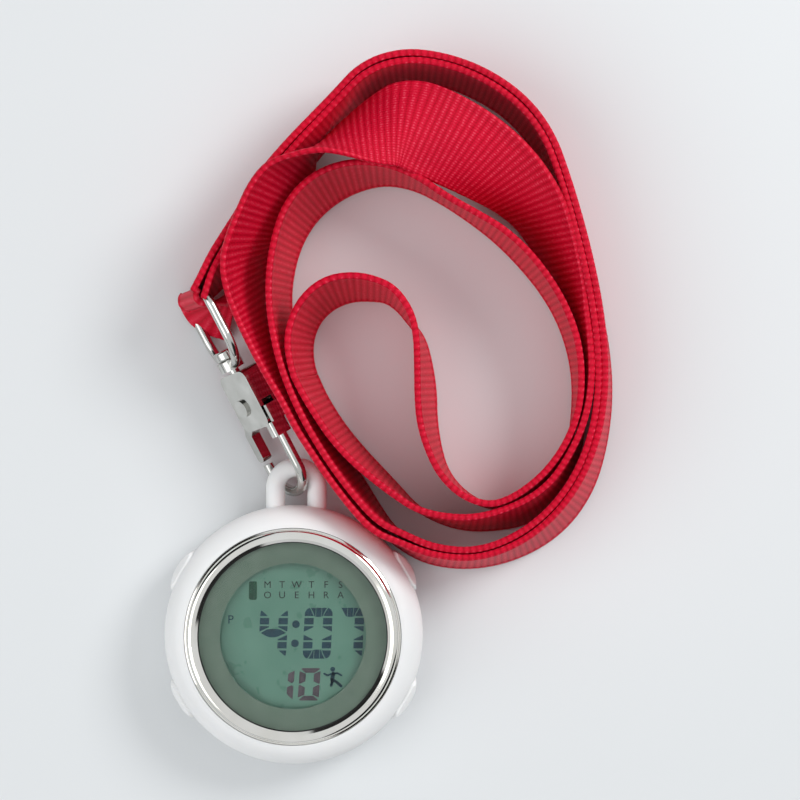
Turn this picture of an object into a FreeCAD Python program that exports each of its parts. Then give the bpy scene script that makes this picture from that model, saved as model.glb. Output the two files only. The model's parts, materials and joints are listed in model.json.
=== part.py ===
import math

import FreeCAD
import Part

# Digital fob watch in a silicone jacket, hung by its bail on a trigger clip with a woven strap.
# Units are millimetres. The watch lies on its back: +Z is out of the display, +Y is 12 o'clock,
# and the origin is the centre of the jacket's flat back.

V = FreeCAD.Vector
ORIGIN = V(0, 0, 0)
X_AXIS = V(1, 0, 0)
Y_AXIS = V(0, 1, 0)
Z_AXIS = V(0, 0, 1)

# ---- driving dimensions of the watch ----
JACKET_R = 23.0
JACKET_TOP = 12.1
JACKET_WALL = 1.15
BACK_OPENING_R = 14.0
CASE_R = 20.4
CASE_BACK = JACKET_WALL + 0.05
CASE_TOP = 10.9
CAVITY_R = 18.4
CAVITY_TOP = 9.9
COVER_R = 18.95
COVER_TOP = 2.15
MASK_SEAT_R = 17.1
GASKET_IN_R = 18.5
GASKET_OUT_R = 18.9
BEZEL_R = 19.25
BEZEL_IN_R = 16.9
BEZEL_TOP = 12.95
CRYSTAL_R = 16.7
CRYSTAL_TOP = 12.3
WINDOW_R = 13.0
MASK_T = 0.4
GLASS_GAP = 0.08
LCD_R = 15.6
LCD_TOP = 9.1
LCD_LEDGE = 7.3
BATTERY_R = 10.0
BATTERY_LOW = 2.95
BATTERY_T = 1.6
BATTERY_CLIP_LOW = 2.62
PIEZO_LOW = 2.2
PIEZO_TOP = 2.45
BOARD_LOW = 4.75
BOARD_TOP = 5.35
ZEBRA_Y = 14.2
SCREW_ANGLES = (0.0, 90.0, 180.0, 270.0)
SCREW_RING_R = 16.9
SCREW_R = 0.6
SCREW_HEAD_R = 1.0
SCREW_HEAD_LOW = 1.25
SCREW_HEAD_TOP = 1.7
FIT_GAP = 0.05

# ---- push buttons ----
BUTTON_ANGLES = (30.0, 150.0, 210.0, 330.0)
BUTTON_Z = 6.0
PAD_WIDTH = 8.0
PAD_HEIGHT = 5.6
PAD_GAP = 0.12
PAD_IN_R = 21.2
PAD_OUT_R = 24.3
PUSHER_SHAFT_R = 0.75
PUSHER_HEAD_R = 1.7
PUSHER_INNER = 17.2
PUSHER_HEAD_IN = 20.6
PUSHER_HEAD_T = 0.6
POCKET_FLOOR = 19.4
GROOVE_AT = 17.9
GROOVE_WIDTH = 0.3
GROOVE_R = 0.55
SEAL_WIRE_R = 0.2
SPRING_R = 1.35
SPRING_PITCH = 0.45
SPRING_TURNS = 3
SPRING_WIRE_R = 0.12

# ---- bail moulded on the jacket ----
BAIL_X = 0.4
BAIL_Y = 26.25
BAIL_Z = 6.0
BAIL_RING_R = 3.72
BAIL_BAR_R = 1.72

# ---- trigger clip ----
CLIP_AXIS = V(0.455, -0.885, -0.1).normalize()
CLIP_TILT = 56.0
HOOK_BEND_R = 4.6
HOOK_BAR_R = 0.95
HOOK_LOW_POINT = V(0.45, 25.7, 5.6)
HEAD_LEFT = -3.2
HEAD_RIGHT = 5.6
HEAD_START = 8.6
HEAD_END = 19.6
HEAD_HALF_T = 1.9
HEAD_SLOT_HALF_T = 1.1
RIVET_AT = V(-0.2, 13.1, 0)
RIVET_R = 0.8
GATE_X = -4.6
GATE_END = 3.35
GATE_HALF_W = 0.95
TRIGGER_HALF_T = 0.95
POST_START = 17.9
POST_HEAD_AT = 22.1
EYE_TILT = 73.0
EYE_BASE = 21.1
EYE_BAR = 34.5
EYE_HALF_W = 7.6
EYE_WIRE_R = 0.85
EYE_CORNER_R = 2.4
EYE_BOW_R = 5.6
EYE_BOSS_HALF = 1.2
POST_R = 1.0

# ---- woven strap ----
STRAP_WIDTH = 16.0
STRAP_THICK = 1.0
COIL_HEIGHT = 16.5
LEAD_LOW = 1.2


def save(name, shape):
    """Write one sub-part, and stop if it isn't a sound solid."""
    if not shape.isValid() or shape.Volume <= 0:
        raise ValueError(name + " is not a sound solid")
    shape.exportStep("parts/" + name + ".step")
    print("%-22s %d solid(s) %10.2f mm3" % (name, len(shape.Solids), shape.Volume))
    return shape


def disc(radius, low, high, centre=(0, 0)):
    return Part.makeCylinder(radius, high - low, V(centre[0], centre[1], low))


def ring(outer, inner, low, high):
    return disc(outer, low, high).cut(disc(inner, low - 1, high + 1))


def block(x, y, z):
    """A box from its ranges along X, Y and Z."""
    return Part.makeBox(x[1] - x[0], y[1] - y[0], z[1] - z[0], V(x[0], y[0], z[0]))


def turned(*edges):
    """A profile in the X-Z half plane, turned about Z."""
    return Part.Face(Part.Wire(edges)).revolve(ORIGIN, Z_AXIS, 360)


def rz(radius, height):
    return V(radius, 0, height)


def line(a, b):
    return Part.makeLine(a, b)


def arc(a, middle, b):
    return Part.Arc(a, middle, b).toShape()


def polyline(*points):
    return [line(points[i], points[i + 1]) for i in range(len(points) - 1)]


def framed(shape, origin, ex, ey):
    """The shape carried from its own axes to the ones given, without stretching."""
    ez = ex.cross(ey)
    matrix = FreeCAD.Matrix(
        ex.x, ey.x, ez.x, origin.x,
        ex.y, ey.y, ez.y, origin.y,
        ex.z, ey.z, ez.z, origin.z,
        0, 0, 0, 1)
    moved = shape.copy()
    moved.Placement = FreeCAD.Placement(matrix).multiply(moved.Placement)
    return moved


def polar(radius, angle, height=0.0):
    turn = math.radians(angle)
    return V(radius * math.cos(turn), radius * math.sin(turn), height)


def repeated(shapes):
    """Equal loose pieces kept as separate solids of one sub-part."""
    return Part.makeCompound(shapes)


# ---------------------------------------------------------------- jacket, case and glass

def radial(shape, angle):
    """A piece modelled pointing along +X at button height, turned to its button."""
    moved = shape.copy()
    moved.rotate(ORIGIN, Z_AXIS, angle)
    return moved


def button_prism(grow, start, end):
    """The rounded rectangular bar that a button pad is cut from, along +X."""
    half_w = PAD_WIDTH / 2 + grow
    half_h = PAD_HEIGHT / 2 + grow
    bar = block((start, end), (-half_w, half_w), (BUTTON_Z - half_h, BUTTON_Z + half_h))
    long_edges = [e for e in bar.Edges if abs(e.tangentAt(0).x) > 0.9]
    return bar.makeFillet(1.6 + grow, long_edges)


def bail():
    """Round-section loop: half a torus on two prongs that run into the jacket."""
    loop = Part.makeTorus(BAIL_RING_R, BAIL_BAR_R, V(BAIL_X, BAIL_Y, BAIL_Z))
    upper = block((-20, 20), (BAIL_Y, BAIL_Y + 20), (-20, 20))
    arch = loop.common(upper)
    prong_start = JACKET_R - 1.6
    prongs = [
        Part.makeCylinder(BAIL_BAR_R, BAIL_Y - prong_start,
                          V(BAIL_X + side * BAIL_RING_R, prong_start, BAIL_Z), Y_AXIS)
        for side in (-1, 1)
    ]
    return arch.fuse(prongs)


def jacket():
    lip_under = CASE_TOP + FIT_GAP
    inner = CASE_R + FIT_GAP
    back_r = 19.4
    lip_r = BEZEL_R + 0.1
    shell = turned(
        *polyline(rz(BACK_OPENING_R, 0), rz(back_r, 0)),
        arc(rz(back_r, 0), rz(22.3, 2.1), rz(JACKET_R, BUTTON_Z)),
        arc(rz(JACKET_R, BUTTON_Z), rz(22.0, 10.5), rz(lip_r, JACKET_TOP)),
        *polyline(rz(lip_r, JACKET_TOP), rz(lip_r, lip_under), rz(inner, lip_under),
                  rz(inner, JACKET_WALL), rz(BACK_OPENING_R, JACKET_WALL),
                  rz(BACK_OPENING_R, 0)))
    shell = shell.fuse(bail()).removeSplitter()
    shell = shell.cut(disc(inner, JACKET_WALL, lip_under))
    for angle in BUTTON_ANGLES:
        shell = shell.cut(radial(button_prism(PAD_GAP, CAVITY_R, 27), angle))
    return shell


def case_body():
    """Moulded case: cavity, rebate for the back cover, seat for mask and crystal, pusher bores."""
    mask_seat = CASE_TOP - MASK_T
    body = disc(CASE_R, CASE_BACK, CASE_TOP)
    body = body.cut(disc(CAVITY_R, CASE_BACK - 1, CAVITY_TOP))
    body = body.cut(disc(COVER_R + FIT_GAP, CASE_BACK - 1, COVER_TOP + FIT_GAP))
    body = body.cut(disc(16.2, 9.0, CASE_TOP + 1))
    body = body.cut(disc(MASK_SEAT_R, mask_seat, CASE_TOP + 1))
    bore = Part.makeCylinder(PUSHER_SHAFT_R + FIT_GAP, 6, V(16.8, 0, BUTTON_Z), X_AXIS)
    pocket = Part.makeCylinder(PUSHER_HEAD_R + 0.1, 3, V(POCKET_FLOOR, 0, BUTTON_Z), X_AXIS)
    for angle in BUTTON_ANGLES:
        body = body.cut(radial(bore.fuse(pocket), angle))
    for angle in SCREW_ANGLES:
        body = body.fuse(screw_boss(angle))
    return body.cut(ring(GASKET_OUT_R + FIT_GAP, GASKET_IN_R - FIT_GAP, 2.0, 2.55))


def screw_boss(angle):
    at = polar(SCREW_RING_R, angle)
    post = disc(1.9, 2.2, 4.4, (at.x, at.y))
    return post.cut(disc(SCREW_R, 2.0, 4.6, (at.x, at.y))).common(disc(CAVITY_R + 0.2, 2, 5))


def back_cover():
    plate = disc(COVER_R, CASE_BACK, COVER_TOP)
    plate = plate.cut(ring(12.2, 11.6, CASE_BACK - 1, CASE_BACK + 0.15))
    for angle in SCREW_ANGLES:
        at = polar(SCREW_RING_R, angle)
        plate = plate.cut(disc(SCREW_R + 0.1, 1, 3, (at.x, at.y)))
        plate = plate.cut(disc(SCREW_HEAD_R + 0.1, 1, SCREW_HEAD_TOP, (at.x, at.y)))
    return plate


def back_screws():
    screws = []
    for angle in SCREW_ANGLES:
        at = polar(SCREW_RING_R, angle)
        head = disc(SCREW_HEAD_R, SCREW_HEAD_LOW, SCREW_HEAD_TOP, (at.x, at.y))
        slot = block((at.x - 1.2, at.x + 1.2), (at.y - 0.12, at.y + 0.12), (1.2, 1.42))
        shank = disc(SCREW_R - 0.02, SCREW_HEAD_TOP, 4.0, (at.x, at.y))
        screws.append(head.cut(slot).fuse(shank))
    return repeated(screws)


def bezel():
    """Bright ring pressed on the case: a low outer step, a round crown and a lip on the glass."""
    seat_r = 17.2
    step_r = 18.95
    crown_r = 17.95
    lip = CRYSTAL_TOP + 0.02
    return turned(
        *polyline(rz(seat_r, CASE_TOP), rz(BEZEL_R, CASE_TOP), rz(BEZEL_R, 12.0),
                  rz(step_r, 12.15)),
        arc(rz(step_r, 12.15), rz(18.55, 12.78), rz(crown_r, BEZEL_TOP)),
        *polyline(rz(crown_r, BEZEL_TOP), rz(17.4, 12.85), rz(BEZEL_IN_R, 12.45),
                  rz(BEZEL_IN_R, lip), rz(seat_r, lip), rz(seat_r, CASE_TOP)))


def crystal():
    glass = disc(CRYSTAL_R, CASE_TOP, CRYSTAL_TOP)
    top_rim = [e for e in glass.Edges if len(e.Vertexes) == 1 and e.Vertexes[0].Z > 12]
    return glass.makeChamfer(0.2, top_rim)


# ---------------------------------------------------------------- display and module

def lcd_outline(radius, flat, low, high):
    """A round LCD plate with a flat at 12 and at 6 o'clock for its contacts."""
    return disc(radius, low, high).common(block((-30, 30), (-flat, flat), (low, high)))


LCD_LAYERS = (
    ("lcd_reflector", 13.6, 7.34, 7.44),
    ("lcd_rear_glass", 14.6, 7.46, 8.2),
    ("lcd_front_glass", 13.6, 8.22, 8.96),
    ("lcd_front_polariser", 13.6, 8.98, LCD_TOP),
)


def module_frame():
    """Moulded carrier: holds the LCD above and the circuit board below."""
    frame = disc(18.2, 4.6, 9.85)
    frame = frame.cut(disc(LCD_R + 0.1, LCD_LEDGE, 10.2))
    frame = frame.cut(disc(15.0, 6.3, 7.4))
    frame = frame.cut(disc(16.6, 4.0, 6.3))
    for angle in BUTTON_ANGLES:
        pocket = block((14.5, 19), (-2.2, 2.2), (4.0, 7.25))
        frame = frame.cut(radial(pocket, angle))
    for angle in SCREW_ANGLES:
        at = polar(SCREW_RING_R, angle)
        frame = frame.cut(disc(1.7, 4.0, 4.9, (at.x, at.y)))
    for side in (-1, 1):
        strip_y = side * ZEBRA_Y
        frame = frame.cut(block((-7.2, 7.2), (strip_y - 0.75, strip_y + 0.75), (6, 8)))
    return frame


def circuit_board():
    board = disc(16.4, BOARD_LOW, BOARD_TOP)
    for angle in BUTTON_ANGLES:
        board = board.cut(radial(block((15.0, 18), (-2.4, 2.4), (4, 6)), angle))
    for side in (-1, 1):
        board = board.cut(disc(0.5, 4, 6, (side * 13.5, 0)))
    return board


def zebra_strips():
    """Striped elastomer connectors between the board and the LCD's rear glass."""
    return repeated([
        block((-7, 7), (side * ZEBRA_Y - 0.6, side * ZEBRA_Y + 0.6), (BOARD_TOP, 7.46))
        for side in (-1, 1)
    ])


def smd_parts():
    """Small chip capacitors and resistors round the driver chip."""
    places = ((6.5, 5.0, 0), (6.5, -4.5, 0), (-6.5, 6.0, 90), (-7.5, -5.5, 0),
              (2.0, 8.5, 90), (-2.5, 8.8, 90), (9.0, 1.0, 0), (3.5, -8.5, 90))
    chips = []
    for x, y, turn in places:
        chip = block((-0.8, 0.8), (-0.4, 0.4), (BOARD_TOP, BOARD_TOP + 0.6))
        chip.rotate(ORIGIN, Z_AXIS, turn)
        chip.translate(V(x, y, 0))
        chips.append(chip)
    return repeated(chips)


def switch_contacts():
    """One bent leaf on the board's edge behind each pusher."""
    leaves = []
    for angle in BUTTON_ANGLES:
        foot = block((13.6, 16.55), (-1.2, 1.2), (BOARD_TOP, BOARD_TOP + 0.15))
        blade = block((16.4, 16.55), (-1.2, 1.2), (BOARD_TOP, 6.6))
        leaves.append(radial(foot.fuse(blade), angle))
    return repeated(leaves)


def battery():
    """Lithium coin cell, 20 mm across and 1.6 mm thick."""
    cell = disc(BATTERY_R, BATTERY_LOW, BATTERY_LOW + BATTERY_T)
    rims = [e for e in cell.Edges if len(e.Vertexes) == 1]
    return cell.makeFillet(0.25, rims)


def battery_clip():
    """Strap that holds the cell: two feet on the board and a bridge under the cell."""
    reach = 11.2
    sheet = 0.25
    half_w = 2.0
    strap = block((-reach, reach), (-half_w, half_w), (BATTERY_CLIP_LOW, BOARD_LOW))
    room = block((sheet - reach, reach - sheet), (-3, 3), (BATTERY_CLIP_LOW + 0.18, BOARD_LOW + 1))
    return strap.cut(room)


def piezo_spring():
    """Small coil that carries the alarm signal from the board to the sounder disc."""
    return coil_spring(0.7, SPRING_WIRE_R, PIEZO_TOP + 0.02, BOARD_LOW, 4, (12.6, -4.6))


def coil_spring(radius, wire_r, low, high, turns, centre=(0, 0)):
    rise = high - low - 2 * wire_r
    helix = Part.makeHelix(rise / turns, rise, radius)
    wire = helix.Edges[0]
    section = Part.Wire(Part.makeCircle(wire_r, wire.valueAt(wire.FirstParameter),
                                        wire.tangentAt(wire.FirstParameter)))
    spring = Part.Wire(helix.Edges).makePipeShell([section], True, True)
    spring.translate(V(centre[0], centre[1], low + wire_r))
    return spring


# ---------------------------------------------------------------- buttons

def button_pad():
    """Domed boss of the jacket over one pusher: curved both ways, flat on its inner face."""
    bar = button_prism(0, PAD_IN_R, 27)
    side_r = 7.0
    rise_r = 4.2
    sideways = Part.makeCylinder(side_r, 20, V(PAD_OUT_R - side_r, 0, -5))
    upright = Part.makeCylinder(rise_r, 30, V(PAD_OUT_R - rise_r, -15, BUTTON_Z), Y_AXIS)
    return bar.common(sideways).common(upright)


def along_button(radius, length, start):
    """A cylinder on the first button's axis, from a distance off the watch's middle."""
    return Part.makeCylinder(radius, length, V(start, 0, BUTTON_Z), X_AXIS)


def pusher():
    head = along_button(PUSHER_HEAD_R, PUSHER_HEAD_T, PUSHER_HEAD_IN)
    shaft = along_button(PUSHER_SHAFT_R, PUSHER_HEAD_IN - PUSHER_INNER, PUSHER_INNER)
    groove = along_button(PUSHER_HEAD_R, GROOVE_WIDTH, GROOVE_AT)
    core = along_button(GROOVE_R, GROOVE_WIDTH, GROOVE_AT)
    return head.fuse(shaft).cut(groove.cut(core))


def pusher_clip():
    """E-clip in the shaft's groove that keeps the pusher in its bore."""
    side_gap = 0.03
    washer = along_button(1.3, GROOVE_WIDTH - 2 * side_gap, GROOVE_AT + side_gap)
    hole = along_button(GROOVE_R + 0.02, 1, GROOVE_AT - 0.4)
    mouth = block((17, 19), (-0.45, 0.45), (BUTTON_Z, BUTTON_Z + 3))
    return washer.cut(hole).cut(mouth)


def pusher_seal():
    """O-ring on the shaft under the pusher's head."""
    return Part.makeTorus(PUSHER_SHAFT_R + SEAL_WIRE_R, SEAL_WIRE_R,
                          V(PUSHER_HEAD_IN - 0.25, 0, BUTTON_Z), X_AXIS)


def pusher_spring():
    """Return spring round the shaft, as its three turns, each closed on itself."""
    first = POCKET_FLOOR + SPRING_WIRE_R
    return repeated([
        Part.makeTorus(SPRING_R, SPRING_WIRE_R, V(first + turn * SPRING_PITCH, 0, BUTTON_Z),
                       X_AXIS)
        for turn in range(SPRING_TURNS)
    ])


# ---------------------------------------------------------------- trigger clip

CLIP_ACROSS = V(-CLIP_AXIS.y, CLIP_AXIS.x, 0).normalize()
CLIP_UP = CLIP_AXIS.cross(CLIP_ACROSS)
TO_EYE = CLIP_AXIS * -1


def tilted(angle):
    """The direction across the clip, turned up out of the level by the angle."""
    turn = math.radians(angle)
    return CLIP_ACROSS * math.cos(turn) + CLIP_UP * math.sin(turn)


HOOK_SIDE = tilted(CLIP_TILT)
EYE_SIDE = tilted(EYE_TILT)
BEND_CENTRE = HOOK_LOW_POINT + TO_EYE * HOOK_BEND_R


def in_hook(shape):
    """From the clip's own axes: X towards its spine, Y towards the eye, Z its thickness."""
    return framed(shape, BEND_CENTRE, HOOK_SIDE, TO_EYE)


def in_eye(shape):
    return framed(shape, BEND_CENTRE, EYE_SIDE, TO_EYE)


def hook_bar():
    """Spine, half-round bend and nose as one bar of round section."""
    r = HOOK_BEND_R
    nose_end = 1.7
    spine_end = V(r, HEAD_START + 1.5, 0)
    path = Part.Wire([
        line(spine_end, V(r, 0, 0)),
        arc(V(r, 0, 0), V(0, -r, 0), V(-r, 0, 0)),
        line(V(-r, 0, 0), V(-r, nose_end, 0))])
    section = Part.Wire(Part.makeCircle(HOOK_BAR_R, spine_end, Y_AXIS))
    return path.makePipeShell([section], True, False)


def clip_frame():
    """Folded channel with the hook bar at its foot; the trigger works inside the channel."""
    t = HEAD_HALF_T
    s = HEAD_SLOT_HALF_T
    head = block((HEAD_LEFT, HEAD_RIGHT), (HEAD_START, HEAD_END), (-t, t))
    upright = [e for e in head.Edges if abs(e.tangentAt(0).z) > 0.9]
    head = head.makeFillet(1.6, upright)
    head = head.cut(block((-9, 4.9), (HEAD_START - 1, POST_START), (-s, s)))
    head = head.cut(block((0, 9), (HEAD_START - 1, 13.4), (-s, s)))
    shoulder = block((HOOK_BEND_R - 1.0, HEAD_RIGHT), (6.2, 9.0), (-t, t))
    shoulder = shoulder.makeFillet(0.7, [e for e in shoulder.Edges if abs(e.tangentAt(0).y) > 0.9])
    head = head.fuse(shoulder)
    rivet_hole = Part.makeCylinder(RIVET_R, 8, RIVET_AT + V(0, 0, -4))
    post_hole = Part.makeCylinder(POST_R, 6, V(0, 16, 0), Y_AXIS)
    return head.fuse(hook_bar()).cut(rivet_hole).cut(post_hole)


def trigger():
    """Gate, hub and thumb tab in one piece, turning on the rivet."""
    half_t = TRIGGER_HALF_T
    left = GATE_X - GATE_HALF_W
    right = GATE_X + GATE_HALF_W
    hub = Part.makeCylinder(2.1, 2 * half_t, RIVET_AT + V(0, 0, -half_t))
    gate_foot = V(GATE_X, GATE_END, 0)
    gate = Part.makePolygon([
        V(-2.2, 13.6, -half_t), V(left, 8.0, -half_t), V(left, GATE_END, -half_t),
        V(right, GATE_END, -half_t), V(right, 7.6, -half_t), V(1.2, 11.6, -half_t),
        V(-2.2, 13.6, -half_t)])
    gate = Part.Face(gate).extrude(V(0, 0, 2 * half_t))
    arm = block((0, 6.9), (10.2, 11.7), (-half_t, half_t))
    tab = block((6.2, 7.0), (9.1, 12.3), (-1.7, 1.7))
    hole = Part.makeCylinder(RIVET_R + FIT_GAP, 6, RIVET_AT + V(0, 0, -3))
    round_nose = Part.makeCylinder(GATE_HALF_W, 2 * half_t, gate_foot + V(0, 0, -half_t))
    return hub.fuse([gate, arm, tab, round_nose]).removeSplitter().cut(hole)


def trigger_rivet():
    shank = Part.makeCylinder(RIVET_R, 2 * HEAD_HALF_T, RIVET_AT + V(0, 0, -HEAD_HALF_T))
    heads = [Part.makeCylinder(1.65, 0.5, RIVET_AT + V(0, 0, low))
             for low in (HEAD_HALF_T, -HEAD_HALF_T - 0.5)]
    return shank.fuse(heads)


def trigger_spring():
    """Bent wire that closes the gate: foot on the head's end wall, free arm on the hub."""
    foot = V(3.4, 17.5, 0)
    wire = Part.Wire(arc(foot, V(1.8, 16.8, 0), V(0.5, 15.5, 0)))
    section = Part.Wire(Part.makeCircle(0.25, foot, wire.Edges[0].tangentAt(0)))
    return wire.makePipeShell([section], True, False)


def swivel_post():
    """Shouldered pin: riveted in the clip's head, with a mushroom head inside the eye."""
    shaft = Part.makeCylinder(POST_R, POST_HEAD_AT + 0.2 - POST_START, V(0, POST_START, 0), Y_AXIS)
    head = Part.makeCylinder(2.15, 1.9, V(0, POST_HEAD_AT, 0), Y_AXIS)
    rim = [e for e in head.Edges if len(e.Vertexes) == 1]
    return shaft.fuse(head.makeFillet(0.5, rim))


def eye_half(side):
    """Half of the eye's wire line, from the boss to the middle of the bar."""
    w = side * EYE_HALF_W
    bow = EYE_BOW_R
    corner = EYE_CORNER_R
    chord = math.sqrt(0.5)
    bow_centre = V(w - side * bow, EYE_BASE + bow, 0)
    corner_centre = V(w - side * corner, EYE_BAR - corner, 0)
    foot = V(side * EYE_BOSS_HALF, EYE_BASE, 0)
    bow_start = V(bow_centre.x, EYE_BASE, 0)
    bow_end = V(w, bow_centre.y, 0)
    corner_start = V(w, corner_centre.y, 0)
    corner_end = V(corner_centre.x, EYE_BAR, 0)
    return [
        line(foot, bow_start),
        arc(bow_start, bow_centre + V(side * bow * chord, -bow * chord, 0), bow_end),
        line(bow_end, corner_start),
        arc(corner_start, corner_centre + V(side * corner * chord, corner * chord, 0),
            corner_end),
        line(corner_end, V(0, EYE_BAR, 0))]


def eye_ring():
    """Wire loop for the strap: straight bar, bowed legs and a drilled boss on the swivel."""
    halves = []
    for side in (-1, 1):
        foot = V(side * EYE_BOSS_HALF, EYE_BASE, 0)
        section = Part.Wire(Part.makeCircle(EYE_WIRE_R, foot, X_AXIS))
        halves.append(Part.Wire(eye_half(side)).makePipeShell([section], True, False))
    boss = Part.makeCylinder(2.3, 1.8, V(0, EYE_BASE - 0.9, 0), Y_AXIS)
    hole = Part.makeCylinder(POST_R + FIT_GAP, 4, V(0, EYE_BASE - 2, 0), Y_AXIS)
    return halves[0].fuse([halves[1], boss]).cut(hole)


# ---------------------------------------------------------------- strap

def strap_bar_loop():
    """The strap's two sewn ends where they turn round the eye's bar."""
    inner = EYE_WIRE_R + 0.1
    outer = inner + 2 * STRAP_THICK
    half = EYE_HALF_W - EYE_CORNER_R
    start = V(-half, EYE_BAR, 0)
    wrap = Part.makeCylinder(outer, 2 * half, start, X_AXIS)
    return wrap.cut(Part.makeCylinder(inner, 2 * half, start, X_AXIS))


# The lanyard lies in loose turns beside the watch. These are the outlines in plan of all its
# turns together, outside and inside.
COIL_OUTSIDE = (
    (-8.6, 69.2), (-6.6, 78.0), (-1.2, 86.7), (4.2, 94.2), (10.8, 101.0), (17.2, 104.5),
    (24.0, 104.7), (33.3, 101.7), (41.0, 97.1), (46.1, 90.4), (50.2, 78.4), (54.7, 61.7),
    (56.4, 43.0), (54.7, 31.7), (51.9, 23.7), (45.4, 17.2), (38.0, 13.9), (30.6, 12.4),
    (24.6, 13.9), (19.2, 16.8), (13.2, 21.9), (7.2, 29.2), (2.6, 36.5), (-0.4, 43.9),
    (-3.4, 52.6), (-6.2, 61.2),
)
COIL_INSIDE = (
    (25.3, 79.1), (37.3, 71.3), (45.5, 60.3), (50.5, 47.5), (50.1, 36.6), (44.6, 28.4),
    (37.3, 25.3), (30.0, 27.5), (25.8, 34.8), (25.5, 45.7), (24.2, 54.8), (20.0, 62.1),
    (13.6, 66.1), (6.3, 65.8), (0.8, 62.1), (0.8, 69.4), (4.5, 74.9), (11.8, 79.5), (19.1, 80.4),
)


def plan_face(points):
    corners = [V(x, y, 0) for x, y in points]
    return Part.Face(Part.makePolygon(corners + [corners[0]]))


def strap_coil():
    """Closed solid of the outer shape of the loose turns."""
    outline = plan_face(COIL_OUTSIDE).cut(plan_face(COIL_INSIDE))
    return outline.extrude(V(0, 0, COIL_HEIGHT))


def strap_lead():
    """The two ends of the strap side by side, standing on edge, from the turns to the eye."""
    half_t = STRAP_THICK + 0.1
    middle = BEND_CENTRE + TO_EYE * EYE_BAR
    bar = V(middle.x, middle.y, LEAD_LOW)
    turns = V(-7.4, 70.0, LEAD_LOW)
    way = (turns - bar).normalize()
    start = bar + way * (EYE_WIRE_R + 2 * STRAP_THICK + 1.9)
    side = V(-way.y, way.x, 0) * half_t
    corners = [start + side, turns + side, turns - side, start - side, start + side]
    lead = Part.Face(Part.makePolygon(corners)).extrude(V(0, 0, STRAP_WIDTH - 1.4))
    return lead.cut(strap_coil())


# ---------------------------------------------------------------- the assembly

save("jacket", jacket())
save("case_body", case_body())
save("back_cover", back_cover())
save("back_gasket", ring(GASKET_OUT_R, GASKET_IN_R, COVER_TOP + 0.01, 2.5))
save("back_screws", back_screws())
save("bezel", bezel())
save("crystal", crystal())
save("crystal_gasket", ring(17.15, CRYSTAL_R + 0.02, CASE_TOP, 11.9))
save("dial_mask", ring(17.05, WINDOW_R, CASE_TOP - MASK_T, CASE_TOP - GLASS_GAP))
for layer_name, layer_flat, layer_low, layer_high in LCD_LAYERS:
    save(layer_name, lcd_outline(LCD_R, layer_flat, layer_low, layer_high))
save("light_guide", disc(12.9, 6.4, LCD_LEDGE))
save("backlight_led", block((13.0, 14.4), (-0.8, 0.8), (BOARD_TOP, 7.1)))
save("zebra_strips", zebra_strips())
save("module_frame", module_frame())
save("circuit_board", circuit_board())
save("driver_chip", disc(3.4, BOARD_TOP, 6.25))
save("timing_crystal", Part.makeCylinder(0.5, 6, V(-3, -6.6, BOARD_TOP + 0.51), X_AXIS))
save("smd_parts", smd_parts())
save("switch_contacts", switch_contacts())
save("battery", battery())
save("battery_insulator", disc(BATTERY_R + 0.6, 4.6, 4.7))
save("battery_clip", battery_clip())
save("piezo_disc", disc(14.4, PIEZO_LOW, PIEZO_TOP))
save("piezo_spring", piezo_spring())

BUTTON_PIECES = (
    ("button_pad", button_pad),
    ("pusher", pusher),
    ("pusher_clip", pusher_clip),
    ("pusher_seal", pusher_seal),
    ("pusher_spring", pusher_spring),
)
for number, button_angle in enumerate(BUTTON_ANGLES, start=1):
    for piece_name, make_piece in BUTTON_PIECES:
        save("%s_%d" % (piece_name, number), radial(make_piece(), button_angle))

save("clip_frame", in_hook(clip_frame()))
save("trigger", in_hook(trigger()))
save("trigger_rivet", in_hook(trigger_rivet()))
save("trigger_spring", in_hook(trigger_spring()))
save("swivel_post", in_hook(swivel_post()))
save("eye_ring", in_eye(eye_ring()))
save("strap_bar_loop", in_eye(strap_bar_loop()))
save("strap_lead", strap_lead())
save("strap_coil", strap_coil())
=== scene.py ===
"""Digital fob watch in a white silicone jacket, on a trigger clip and a red woven neck strap.

Lengths are in metres and every piece sits in the frame of the CAD model: the back of the watch
lies on the floor at z = 0, and the strap lies above and to the right of the watch.
"""
import json
import math

import bpy
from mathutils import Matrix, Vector


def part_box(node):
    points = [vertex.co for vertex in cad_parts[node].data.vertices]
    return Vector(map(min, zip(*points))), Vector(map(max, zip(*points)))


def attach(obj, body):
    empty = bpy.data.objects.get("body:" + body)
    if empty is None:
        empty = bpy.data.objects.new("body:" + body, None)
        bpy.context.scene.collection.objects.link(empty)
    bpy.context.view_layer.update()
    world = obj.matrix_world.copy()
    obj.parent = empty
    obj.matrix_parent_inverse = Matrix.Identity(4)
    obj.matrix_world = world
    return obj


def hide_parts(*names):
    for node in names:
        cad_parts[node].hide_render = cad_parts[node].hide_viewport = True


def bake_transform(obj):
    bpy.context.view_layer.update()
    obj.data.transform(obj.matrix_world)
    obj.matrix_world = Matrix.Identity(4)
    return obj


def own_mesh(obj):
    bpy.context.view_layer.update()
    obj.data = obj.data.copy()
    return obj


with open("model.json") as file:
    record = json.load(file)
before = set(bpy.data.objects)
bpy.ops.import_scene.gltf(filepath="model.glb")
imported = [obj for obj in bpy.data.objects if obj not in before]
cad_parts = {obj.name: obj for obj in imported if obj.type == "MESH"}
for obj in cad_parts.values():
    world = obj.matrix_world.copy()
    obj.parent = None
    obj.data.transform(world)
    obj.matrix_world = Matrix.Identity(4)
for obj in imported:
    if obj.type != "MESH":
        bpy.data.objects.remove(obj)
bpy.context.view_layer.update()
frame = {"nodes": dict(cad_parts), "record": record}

MM = 0.001

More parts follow.
